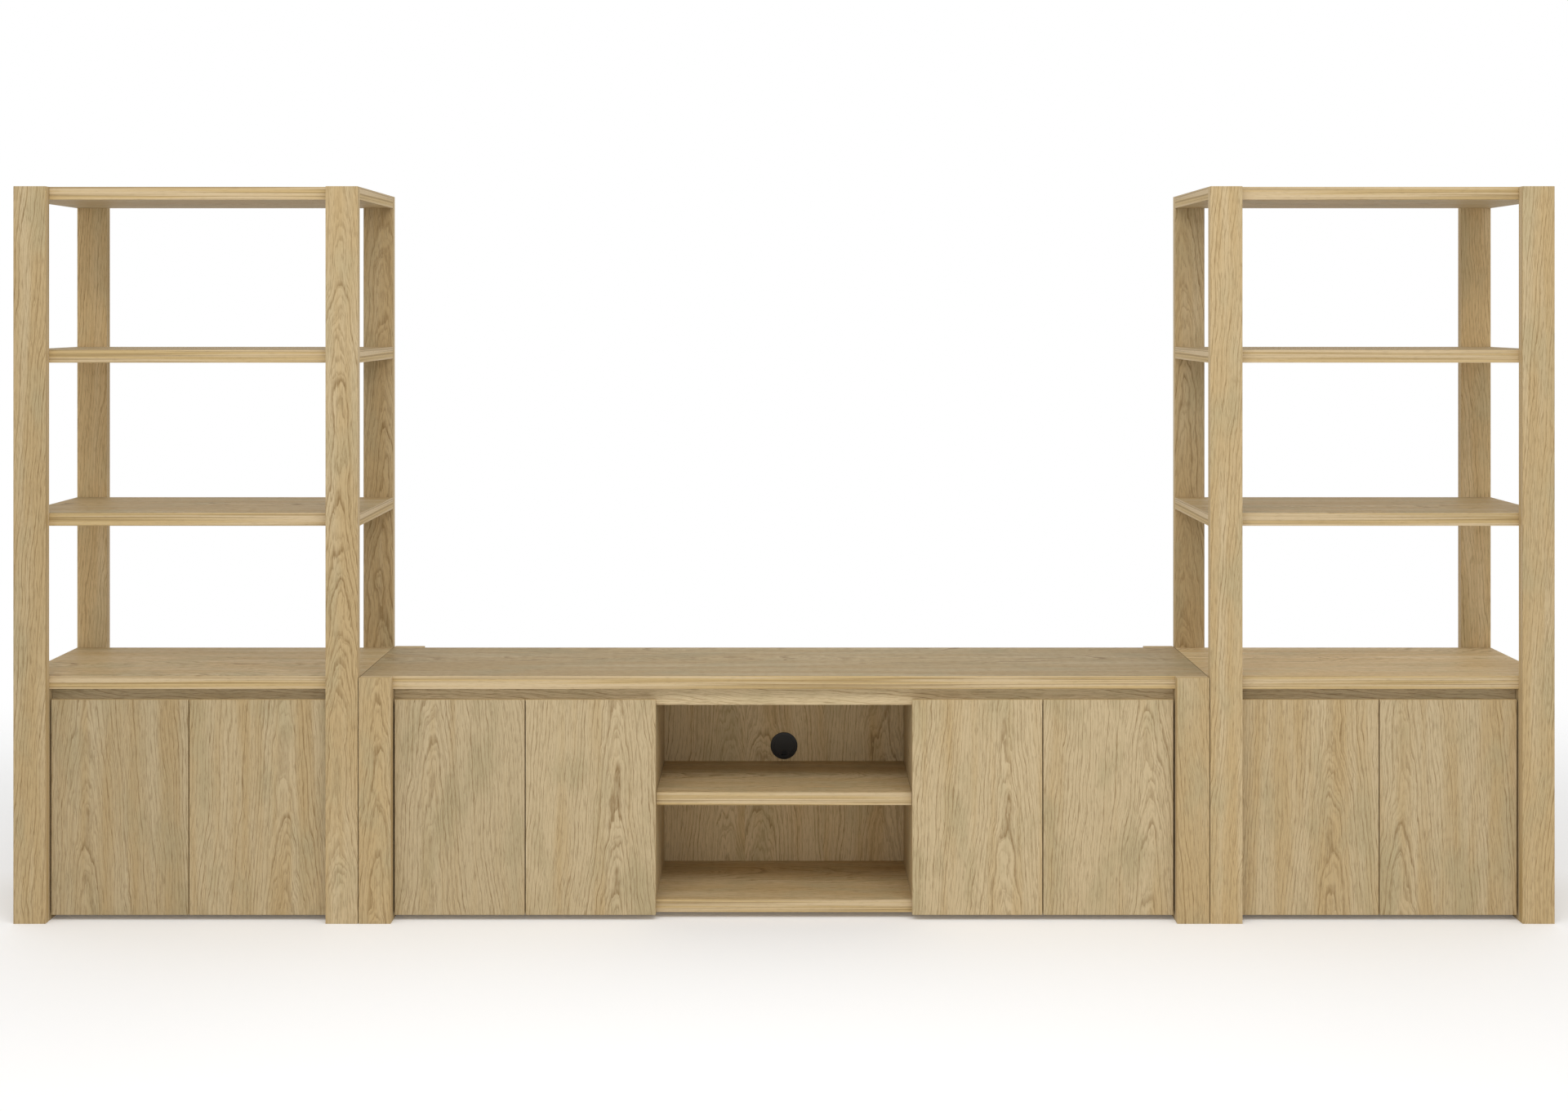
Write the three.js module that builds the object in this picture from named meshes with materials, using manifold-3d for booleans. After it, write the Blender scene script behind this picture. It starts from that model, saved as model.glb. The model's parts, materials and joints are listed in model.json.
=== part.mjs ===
// Media cabinet set in light oak: a low console with four doors and an open bay, between two tall piers
// that each have open shelves above a two-door cupboard. Flat posts stand in front of and behind the boards.
// Millimetres, +Z up, the front faces -Y, and the origin is on the floor under the middle of the set.

import * as THREE from 'three';
import { mergeVertices } from 'three/addons/utils/BufferGeometryUtils.js';
import Module from 'manifold-3d';

// Overall sizes of the units
const DEPTH = 457;
const CONSOLE_WIDTH = 2110;
const PIER_WIDTH = 854;
const PIER_HEIGHT = 1830;
const CABINET_HEIGHT = 610; // the console's top, and the top of the cupboard in each pier
const OPEN_BAYS = 3; // equally high, over the cupboard in each pier
const UNIT_GAP = 2; // the console stands this far from each pier

// Stock
const POST_WIDTH = 80;
const POST_THICKNESS = 25;
const BOARD_THICKNESS = 32; // tops, open shelves and bottoms
const PANEL_THICKNESS = 18; // sides, partitions, rails and the shelves behind doors
const BACK_THICKNESS = 8;
const DOOR_THICKNESS = 18;

// Fits
const FIT = 0.3; // between two pieces that are fastened together
const SHELF_PLAY = 1; // at each end of a shelf that lifts out
const DOOR_SETBACK = 1; // door front behind the rear faces of the front posts
const DOOR_STANDOFF = 2; // door back to the rail and partitions
const DOOR_SIDE_GAP = 4.2; // door to side panel
const DOOR_MEETING_GAP = 2.5; // between the two doors of a pair
const FLOOR_GAP = 14; // under the doors and the outer side panels
const FINGER_GAP = 27; // over the doors

// Cupboards
const BOTTOM_HEIGHT = 15; // underside of the bottom board
const RAIL_HEIGHT = 44;
const BACK_INSET = 50; // front of the back panel to the rear edges of the boards
const INNER_SHELF_HEIGHT = 300; // underside of the shelf behind the doors
const INNER_SHELF_SETBACK = 30; // shelf front edge behind the carcass front
const PIN_HOLE_DIAMETER = 5;
const PIN_HOLE_DEPTH = 10;
const PIN_HOLE_PITCH = 32; // the shelf can be set one step lower or higher
const PIN_INSET = 40; // pin rows to the shelf's front and rear edges
const PIN_HOLE_STEPS = [-1, 0, 1]; // holes of a row, counted in pitches from the usual height
const PIN_HOLE_SEGMENTS = 10;

// Open bay of the console
const BAY_WIDTH = 640;
const BAY_SHELF_HEIGHT = 283; // underside

// Doors
const PULL_BEVEL_HEIGHT = 8; // finger bevel along the rear top edge
const PULL_BEVEL_DEPTH = 9;
const HINGE_CUP_DIAMETER = 35;
const HINGE_CUP_DEPTH = 12.5;
const HINGE_CUP_INSET = 22.5; // cup centre to the door's hinge edge
const HINGE_END_DISTANCE = 90; // cup centre to the door's top and bottom
const HINGE_CUP_SEGMENTS = 24;

// Cable grommet in the bay's back panel
const GROMMET_HEIGHT = 356;
const GROMMET_HOLE_DIAMETER = 60;
const GROMMET_FLANGE_DIAMETER = 72;
const GROMMET_FLANGE_THICKNESS = 2.4;
const GROMMET_LENGTH = 20;
const GROMMET_WALL = 2; // sleeve wall beside the cap
const GROMMET_LEDGE = 2; // the seat behind the cap stands this far in from the wall
const CAP_THICKNESS = 2.6;
const CAP_RECESS = 0.4; // cap face behind the flange face
const CABLE_SLOT_WIDTH = 14;
const CABLE_SLOT_DEPTH = 16; // from the cap's rim to the end of the slot
const ROUND_SEGMENTS = 48;

// Places that follow from the sizes, along Y
const FRONT = -DEPTH / 2;
const REAR = DEPTH / 2;
const BOARD_FRONT = FRONT + POST_THICKNESS + FIT;
const BOARD_REAR = REAR - POST_THICKNESS - FIT;
const DOOR_FRONT = FRONT + POST_THICKNESS + DOOR_SETBACK;
const DOOR_REAR = DOOR_FRONT + DOOR_THICKNESS;
const CARCASS_FRONT = DOOR_REAR + DOOR_STANDOFF;
const BACK_FRONT = BOARD_REAR - BACK_INSET;
const BACK_REAR = BACK_FRONT + BACK_THICKNESS;
const INNER_SHELF_FRONT = CARCASS_FRONT + INNER_SHELF_SETBACK;
const INNER_SHELF_REAR = BACK_FRONT - SHELF_PLAY;

// Places along Z
const CABINET_TOP_UNDERSIDE = CABINET_HEIGHT - BOARD_THICKNESS;
const BOTTOM_TOP = BOTTOM_HEIGHT + BOARD_THICKNESS;
const DOOR_TOP = CABINET_TOP_UNDERSIDE - FINGER_GAP;

const CUTTER_OVERSHOOT = 1; // a cutter runs this far past the face that it enters by

// Light oak under matt lacquer, a little darker where less light reaches it
const OAK = {
  post: 0xb79f78,
  board: 0xbfa880,
  bottom: 0xb8a17a,
  rail: 0xb09a73,
  door: 0xb7a17b,
  outerSide: 0xb39b74,
  innerSide: 0xa89069,
  partition: 0xa08860,
  innerShelf: 0xa58e68,
  back: 0x8d7950,
};
const OAK_ROUGHNESS = 0.55;
const PLASTIC_COLOUR = 0x181614;
const PLASTIC_ROUGHNESS = 0.45;

function oak(color) {
  return new THREE.MeshStandardMaterial({ color, roughness: OAK_ROUGHNESS, metalness: 0 });
}

const wasm = await Module();
wasm.setup();

// A closed geometry as a solid, for cutting
function toSolid(geometry) {
  const bare = geometry.index ? geometry.toNonIndexed() : geometry.clone();
  bare.deleteAttribute('normal');
  bare.deleteAttribute('uv');
  const merged = mergeVertices(bare, 1e-4);
  const vertProperties = new Float32Array(merged.attributes.position.array);
  const triVerts = new Uint32Array(merged.index.array);
  return new wasm.Manifold(new wasm.Mesh({ numProp: 3, vertProperties, triVerts }));
}

// The geometry with every cutter taken out of it
function cut(geometry, cutters) {
  let solid = toSolid(geometry);
  for (const cutter of cutters) {
    solid = solid.subtract(toSolid(cutter));
  }
  const mesh = solid.getMesh();
  const result = new THREE.BufferGeometry();
  result.setAttribute('position', new THREE.BufferAttribute(mesh.vertProperties, 3));
  result.setIndex(new THREE.BufferAttribute(mesh.triVerts, 1));
  result.computeVertexNormals();
  return result;
}

function piece(name, geometry, material) {
  const mesh = new THREE.Mesh(geometry, material);
  mesh.name = name;
  return mesh;
}

function boxGeometry([x0, x1], [y0, y1], [z0, z1]) {
  const box = new THREE.BoxGeometry(x1 - x0, y1 - y0, z1 - z0);
  return box.translate((x0 + x1) / 2, (y0 + y1) / 2, (z0 + z1) / 2);
}

// A rectangular board between two places along each axis
function board(name, x, y, z, color) {
  return piece(name, boxGeometry(x, y, z), oak(color));
}

// A cylinder whose axis runs front to back
function cylinderAlongY(diameter, x, [y0, y1], z, segments) {
  const cylinder = new THREE.CylinderGeometry(diameter / 2, diameter / 2, y1 - y0, segments);
  return cylinder.translate(x, (y0 + y1) / 2, z);
}

// An outline in Y and Z, drawn out between two places along X
function extrudeAlongX(outline, [x0, x1]) {
  const shape = new THREE.Shape(outline.map(([y, z]) => new THREE.Vector2(y, z)));
  const extruded = new THREE.ExtrudeGeometry(shape, { depth: x1 - x0, bevelEnabled: false });
  const turn = new THREE.Matrix4().makeBasis(
    new THREE.Vector3(0, 1, 0),
    new THREE.Vector3(0, 0, 1),
    new THREE.Vector3(1, 0, 0),
  );
  return extruded.applyMatrix4(turn).translate(x0, 0, 0);
}

// Four flat posts, two in front of the boards and two behind them
function posts(prefix, width, height) {
  const inner = width / 2 - POST_WIDTH;
  const sides = { left: [-width / 2, -inner], right: [inner, width / 2] };
  const rows = { front: [FRONT, FRONT + POST_THICKNESS], rear: [REAR - POST_THICKNESS, REAR] };
  const found = [];
  for (const [row, y] of Object.entries(rows)) {
    for (const [side, x] of Object.entries(sides)) {
      found.push(board(`${prefix}_${row}_${side}_post`, x, y, [0, height], OAK.post));
    }
  }
  return found;
}

// A thick board over the unit's full width, between the front and rear posts
function fullBoard(name, width, top) {
  const z = [top - BOARD_THICKNESS, top];
  return board(name, [-width / 2, width / 2], [BOARD_FRONT, BOARD_REAR], z, OAK.board);
}

// Blind holes for shelf pins, in two rows, drilled into the face at x.
// direction is 1 where the panel lies on the +X side of that face and -1 where it lies on the other side.
function pinHoles(x, direction) {
  const pinHeight = INNER_SHELF_HEIGHT - PIN_HOLE_DIAMETER / 2;
  const length = PIN_HOLE_DEPTH + CUTTER_OVERSHOOT;
  const centre = x + direction * (PIN_HOLE_DEPTH - length / 2);
  const holes = [];
  for (const y of [INNER_SHELF_FRONT + PIN_INSET, INNER_SHELF_REAR - PIN_INSET]) {
    for (const step of PIN_HOLE_STEPS) {
      const radius = PIN_HOLE_DIAMETER / 2;
      const hole = new THREE.CylinderGeometry(radius, radius, length, PIN_HOLE_SEGMENTS);
      holes.push(hole.rotateZ(Math.PI / 2).translate(centre, y, pinHeight + step * PIN_HOLE_PITCH));
    }
  }
  return holes;
}

// The inner panel carries hinges and shelf pins, and stands in line with the posts' inner edges.
// The outer panel closes the side between the posts.
function sidePanels(prefix, width) {
  const y = [BOARD_FRONT, BOARD_REAR];
  const top = CABINET_TOP_UNDERSIDE - FIT;
  const found = [];
  for (const [side, direction] of [['left', -1], ['right', 1]]) {
    const innerFace = direction * (width / 2 - POST_WIDTH);
    const outerFace = direction * width / 2;
    const innerX = [innerFace, innerFace + direction * PANEL_THICKNESS].sort((a, b) => a - b);
    const outerX = [outerFace, outerFace - direction * PANEL_THICKNESS].sort((a, b) => a - b);
    const drilled = cut(boxGeometry(innerX, y, [0, top]), pinHoles(innerFace, direction));
    found.push(piece(`${prefix}_${side}_inner_side`, drilled, oak(OAK.innerSide)));
    found.push(board(`${prefix}_${side}_outer_side`, outerX, y, [FLOOR_GAP, top], OAK.outerSide));
  }
  return found;
}

// Half of the clear width between the inner side panels, less the fit
function halfInside(width) {
  return width / 2 - POST_WIDTH - FIT;
}

function bottomBoard(prefix, width) {
  const half = halfInside(width);
  const y = [CARCASS_FRONT, BOARD_REAR];
  return board(`${prefix}_bottom`, [-half, half], y, [BOTTOM_HEIGHT, BOTTOM_TOP], OAK.bottom);
}

// The rail hangs under the top board, behind the finger gap
function frontRail(prefix, width) {
  const half = halfInside(width);
  const y = [CARCASS_FRONT, CARCASS_FRONT + PANEL_THICKNESS];
  const z = [CABINET_TOP_UNDERSIDE - RAIL_HEIGHT, CABINET_TOP_UNDERSIDE - FIT];
  return board(`${prefix}_front_rail`, [-half, half], y, z, OAK.rail);
}

function backPanelGeometry(width) {
  const half = halfInside(width);
  const z = [BOTTOM_TOP + FIT, CABINET_TOP_UNDERSIDE - FIT];
  return boxGeometry([-half, half], [BACK_FRONT, BACK_REAR], z);
}

// A loose shelf on pins between two upright faces
function innerShelf(name, [x0, x1]) {
  const x = [x0 + SHELF_PLAY, x1 - SHELF_PLAY];
  const z = [INNER_SHELF_HEIGHT, INNER_SHELF_HEIGHT + PANEL_THICKNESS];
  return board(name, x, [INNER_SHELF_FRONT, INNER_SHELF_REAR], z, OAK.innerShelf);
}

// A slab door with a finger bevel behind its top edge and two blind bores for the hinge cups.
// hingeSide is -1 for hinges on the left and 1 for hinges on the right.
function door(name, [x0, x1], hingeSide) {
  const outline = [
    [DOOR_FRONT, FLOOR_GAP],
    [DOOR_REAR, FLOOR_GAP],
    [DOOR_REAR, DOOR_TOP - PULL_BEVEL_HEIGHT],
    [DOOR_REAR - PULL_BEVEL_DEPTH, DOOR_TOP],
    [DOOR_FRONT, DOOR_TOP],
  ];
  const cupX = hingeSide < 0 ? x0 + HINGE_CUP_INSET : x1 - HINGE_CUP_INSET;
  const cupY = [DOOR_REAR - HINGE_CUP_DEPTH, DOOR_REAR + CUTTER_OVERSHOOT];
  const cupHeights = [FLOOR_GAP + HINGE_END_DISTANCE, DOOR_TOP - HINGE_END_DISTANCE];
  const bores = cupHeights.map((z) => cylinderAlongY(HINGE_CUP_DIAMETER, cupX, cupY, z, HINGE_CUP_SEGMENTS));
  return piece(name, cut(extrudeAlongX(outline, [x0, x1]), bores), oak(OAK.door));
}

// Two doors that meet in the middle of an opening, hinged on the opening's two sides
function doorPair(names, [x0, x1]) {
  const middle = (x0 + x1) / 2;
  return [
    door(names[0], [x0, middle - DOOR_MEETING_GAP / 2], -1),
    door(names[1], [middle + DOOR_MEETING_GAP / 2, x1], 1),
  ];
}

// The carcass of one cupboard, without what stands between its side panels
function carcass(prefix, width) {
  return [
    ...sidePanels(prefix, width),
    bottomBoard(prefix, width),
    frontRail(prefix, width),
  ];
}

// A tall pier: open bays over a two-door cupboard
function pier(prefix) {
  const group = new THREE.Group();
  const inner = PIER_WIDTH / 2 - POST_WIDTH;
  const openHeight = PIER_HEIGHT - CABINET_HEIGHT - OPEN_BAYS * BOARD_THICKNESS;
  const step = openHeight / OPEN_BAYS + BOARD_THICKNESS;
  const doorNames = [`${prefix}_left_door`, `${prefix}_right_door`];
  group.add(
    ...posts(prefix, PIER_WIDTH, PIER_HEIGHT),
    fullBoard(`${prefix}_top`, PIER_WIDTH, PIER_HEIGHT),
    fullBoard(`${prefix}_upper_shelf`, PIER_WIDTH, PIER_HEIGHT - step),
    fullBoard(`${prefix}_lower_shelf`, PIER_WIDTH, PIER_HEIGHT - 2 * step),
    fullBoard(`${prefix}_cabinet_top`, PIER_WIDTH, CABINET_HEIGHT),
    ...carcass(prefix, PIER_WIDTH),
    piece(`${prefix}_back_panel`, backPanelGeometry(PIER_WIDTH), oak(OAK.back)),
    innerShelf(`${prefix}_inner_shelf`, [-inner, inner]),
    ...doorPair(doorNames, [-inner + DOOR_SIDE_GAP, inner - DOOR_SIDE_GAP]),
  );
  return group;
}

// An upright between the bay and a compartment, notched round the rail at its top front corner.
// direction is -1 for the upright on the left of the bay and 1 for the one on the right.
function partition(name, direction) {
  const bayFace = direction * BAY_WIDTH / 2;
  const pinFace = bayFace + direction * PANEL_THICKNESS;
  const x = [bayFace, pinFace].sort((a, b) => a - b);
  const top = CABINET_TOP_UNDERSIDE - FIT;
  const notchRear = CARCASS_FRONT + PANEL_THICKNESS + FIT;
  const notchBottom = CABINET_TOP_UNDERSIDE - RAIL_HEIGHT - FIT;
  const outline = [
    [CARCASS_FRONT, BOTTOM_TOP + FIT],
    [BACK_FRONT - FIT, BOTTOM_TOP + FIT],
    [BACK_FRONT - FIT, top],
    [notchRear, top],
    [notchRear, notchBottom],
    [CARCASS_FRONT, notchBottom],
  ];
  return piece(name, cut(extrudeAlongX(outline, x), pinHoles(pinFace, -direction)), oak(OAK.partition));
}

// The console's back panel has one round hole, in the bay
function consoleBackPanel() {
  const holeY = [BACK_FRONT - CUTTER_OVERSHOOT, BACK_REAR + CUTTER_OVERSHOOT];
  const hole = cylinderAlongY(GROMMET_HOLE_DIAMETER, 0, holeY, GROMMET_HEIGHT, ROUND_SEGMENTS);
  return piece('console_back_panel', cut(backPanelGeometry(CONSOLE_WIDTH), [hole]), oak(OAK.back));
}

function bayShelf() {
  const half = BAY_WIDTH / 2 - FIT;
  const z = [BAY_SHELF_HEIGHT, BAY_SHELF_HEIGHT + BOARD_THICKNESS];
  return board('console_bay_shelf', [-half, half], [CARCASS_FRONT, BACK_FRONT - FIT], z, OAK.board);
}

function blackPlastic() {
  return new THREE.MeshStandardMaterial({
    color: PLASTIC_COLOUR,
    roughness: PLASTIC_ROUGHNESS,
    metalness: 0,
  });
}

const GROMMET_FACE = BACK_FRONT - FIT - GROMMET_FLANGE_THICKNESS;
const SLEEVE_RADIUS = GROMMET_HOLE_DIAMETER / 2 - FIT;
const SEAT_RADIUS = SLEEVE_RADIUS - GROMMET_WALL;
const CAP_RADIUS = SEAT_RADIUS - FIT;
const CAP_FACE = GROMMET_FACE + CAP_RECESS;
const CAP_REAR = CAP_FACE + CAP_THICKNESS;

// A flanged sleeve through the back panel, with a seat for the cap inside its mouth
function grommetLiner() {
  const flangeRadius = GROMMET_FLANGE_DIAMETER / 2;
  const throatRadius = SEAT_RADIUS - GROMMET_LEDGE;
  const end = GROMMET_FACE + GROMMET_LENGTH;
  const profile = [
    [throatRadius, end],
    [throatRadius, CAP_REAR + FIT],
    [SEAT_RADIUS, CAP_REAR + FIT],
    [SEAT_RADIUS, GROMMET_FACE],
    [flangeRadius, GROMMET_FACE],
    [flangeRadius, BACK_FRONT - FIT],
    [SLEEVE_RADIUS, BACK_FRONT - FIT],
    [SLEEVE_RADIUS, end],
    [throatRadius, end],
  ];
  const points = profile.map(([radius, y]) => new THREE.Vector2(radius, y));
  const geometry = new THREE.LatheGeometry(points, ROUND_SEGMENTS).translate(0, 0, GROMMET_HEIGHT);
  return piece('grommet_liner', geometry, blackPlastic());
}

// A disc that turns in the liner, with a round-ended cable slot in its lower rim
function grommetCap() {
  const disc = cylinderAlongY(CAP_RADIUS * 2, 0, [CAP_FACE, CAP_REAR], GROMMET_HEIGHT, ROUND_SEGMENTS);
  const through = [CAP_FACE - CUTTER_OVERSHOOT, CAP_REAR + CUTTER_OVERSHOOT];
  const rim = GROMMET_HEIGHT - CAP_RADIUS;
  const slotEnd = rim + CABLE_SLOT_DEPTH - CABLE_SLOT_WIDTH / 2;
  const slotX = [-CABLE_SLOT_WIDTH / 2, CABLE_SLOT_WIDTH / 2];
  const cutters = [
    boxGeometry(slotX, through, [rim - CUTTER_OVERSHOOT, slotEnd]),
    cylinderAlongY(CABLE_SLOT_WIDTH, 0, through, slotEnd, HINGE_CUP_SEGMENTS),
  ];
  return piece('grommet_cap', cut(disc, cutters), blackPlastic());
}

// The low console: a compartment with two doors on each side of an open bay with one shelf
function mediaConsole() {
  const group = new THREE.Group();
  const bay = BAY_WIDTH / 2;
  const inner = CONSOLE_WIDTH / 2 - POST_WIDTH;
  group.add(
    ...posts('console', CONSOLE_WIDTH, CABINET_HEIGHT),
    fullBoard('console_top', CONSOLE_WIDTH, CABINET_HEIGHT),
    ...carcass('console', CONSOLE_WIDTH),
    consoleBackPanel(),
    partition('console_left_partition', -1),
    partition('console_right_partition', 1),
    bayShelf(),
    innerShelf('console_left_inner_shelf', [-inner, -bay - PANEL_THICKNESS]),
    innerShelf('console_right_inner_shelf', [bay + PANEL_THICKNESS, inner]),
    ...doorPair(['console_door_1', 'console_door_2'], [-inner + DOOR_SIDE_GAP, -bay]),
    ...doorPair(['console_door_3', 'console_door_4'], [bay, inner - DOOR_SIDE_GAP]),
    grommetLiner(),
    grommetCap(),
  );
  return group;
}

const mediaCabinet = new THREE.Group();
const leftPier = pier('left_pier');
const rightPier = pier('right_pier');
const pierCentre = (CONSOLE_WIDTH + PIER_WIDTH) / 2 + UNIT_GAP;
leftPier.position.x = -pierCentre;
rightPier.position.x = pierCentre;
mediaCabinet.add(leftPier, mediaConsole(), rightPier);

export default mediaCabinet;
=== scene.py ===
import json
import math
import random

import bmesh
import bpy
from mathutils import Matrix, Vector


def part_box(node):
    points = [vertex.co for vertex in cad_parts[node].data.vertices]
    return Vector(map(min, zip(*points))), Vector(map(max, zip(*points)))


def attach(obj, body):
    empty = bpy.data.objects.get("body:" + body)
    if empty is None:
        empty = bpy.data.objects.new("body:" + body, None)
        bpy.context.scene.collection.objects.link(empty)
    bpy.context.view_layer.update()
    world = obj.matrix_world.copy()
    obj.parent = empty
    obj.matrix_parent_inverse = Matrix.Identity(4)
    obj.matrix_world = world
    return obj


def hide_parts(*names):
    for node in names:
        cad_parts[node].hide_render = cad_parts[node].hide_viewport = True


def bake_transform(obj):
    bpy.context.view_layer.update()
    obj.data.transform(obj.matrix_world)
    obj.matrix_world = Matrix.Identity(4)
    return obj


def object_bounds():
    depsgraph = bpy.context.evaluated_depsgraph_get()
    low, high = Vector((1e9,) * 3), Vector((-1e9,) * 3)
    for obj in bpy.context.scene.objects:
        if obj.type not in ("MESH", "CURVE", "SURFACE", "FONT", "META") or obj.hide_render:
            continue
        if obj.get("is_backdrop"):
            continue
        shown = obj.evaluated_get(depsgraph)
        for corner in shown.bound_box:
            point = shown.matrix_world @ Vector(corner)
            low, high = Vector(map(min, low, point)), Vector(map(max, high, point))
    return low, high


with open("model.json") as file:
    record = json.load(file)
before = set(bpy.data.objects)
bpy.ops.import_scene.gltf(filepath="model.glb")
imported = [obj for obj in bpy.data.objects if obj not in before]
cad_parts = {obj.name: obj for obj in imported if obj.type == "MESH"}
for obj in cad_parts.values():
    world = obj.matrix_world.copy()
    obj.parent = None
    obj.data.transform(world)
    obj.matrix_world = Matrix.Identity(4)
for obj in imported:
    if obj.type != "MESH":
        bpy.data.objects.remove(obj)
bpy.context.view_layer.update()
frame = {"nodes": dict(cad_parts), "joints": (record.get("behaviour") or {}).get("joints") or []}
nodes = frame["nodes"]

# ---------------------------------------------------------------------------------------------------------
# Posts. Twelve flat uprights of white oak veneer over a stable core, 80 by 25 mm, four to a unit. They are
# screwed from inside to the edges of the boards, and their veneer runs upright on every face.
# ---------------------------------------------------------------------------------------------------------


def linear(colour):
    """An sRGB hex colour such as "c8b28c" as linear red, green, blue and an alpha of 1."""
    parts = [int(colour[i : i + 2], 16) / 255 for i in (0, 2, 4)]
    return [c / 12.92 if c <= 0.04045 else ((c + 0.055) / 1.055) ** 2.4 for c in parts] + [1.0]


def add(tree, kind, inputs=(), **settings):
    """Adds a node, sets it and gives its sockets values, or other nodes' outputs to link. Returns its
    outputs."""
    made = tree.nodes.new(kind if kind.startswith("NodeGroup") else "ShaderNode" + kind)
    for name, value in settings.items():
        setattr(made, name, value)
    for socket, value in inputs.items() if isinstance(inputs, dict) else enumerate(inputs):
        if isinstance(value, bpy.types.NodeSocket):
            tree.links.new(value, made.inputs[socket])
        else:
            made.inputs[socket].default_value = value
    return made.outputs


def blank_material(name):
    """A new material and its node tree, with nothing in it."""
    made = bpy.data.materials.new(name)
    made.use_nodes = True
    made.node_tree.nodes.clear()
    return made, made.node_tree


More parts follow.
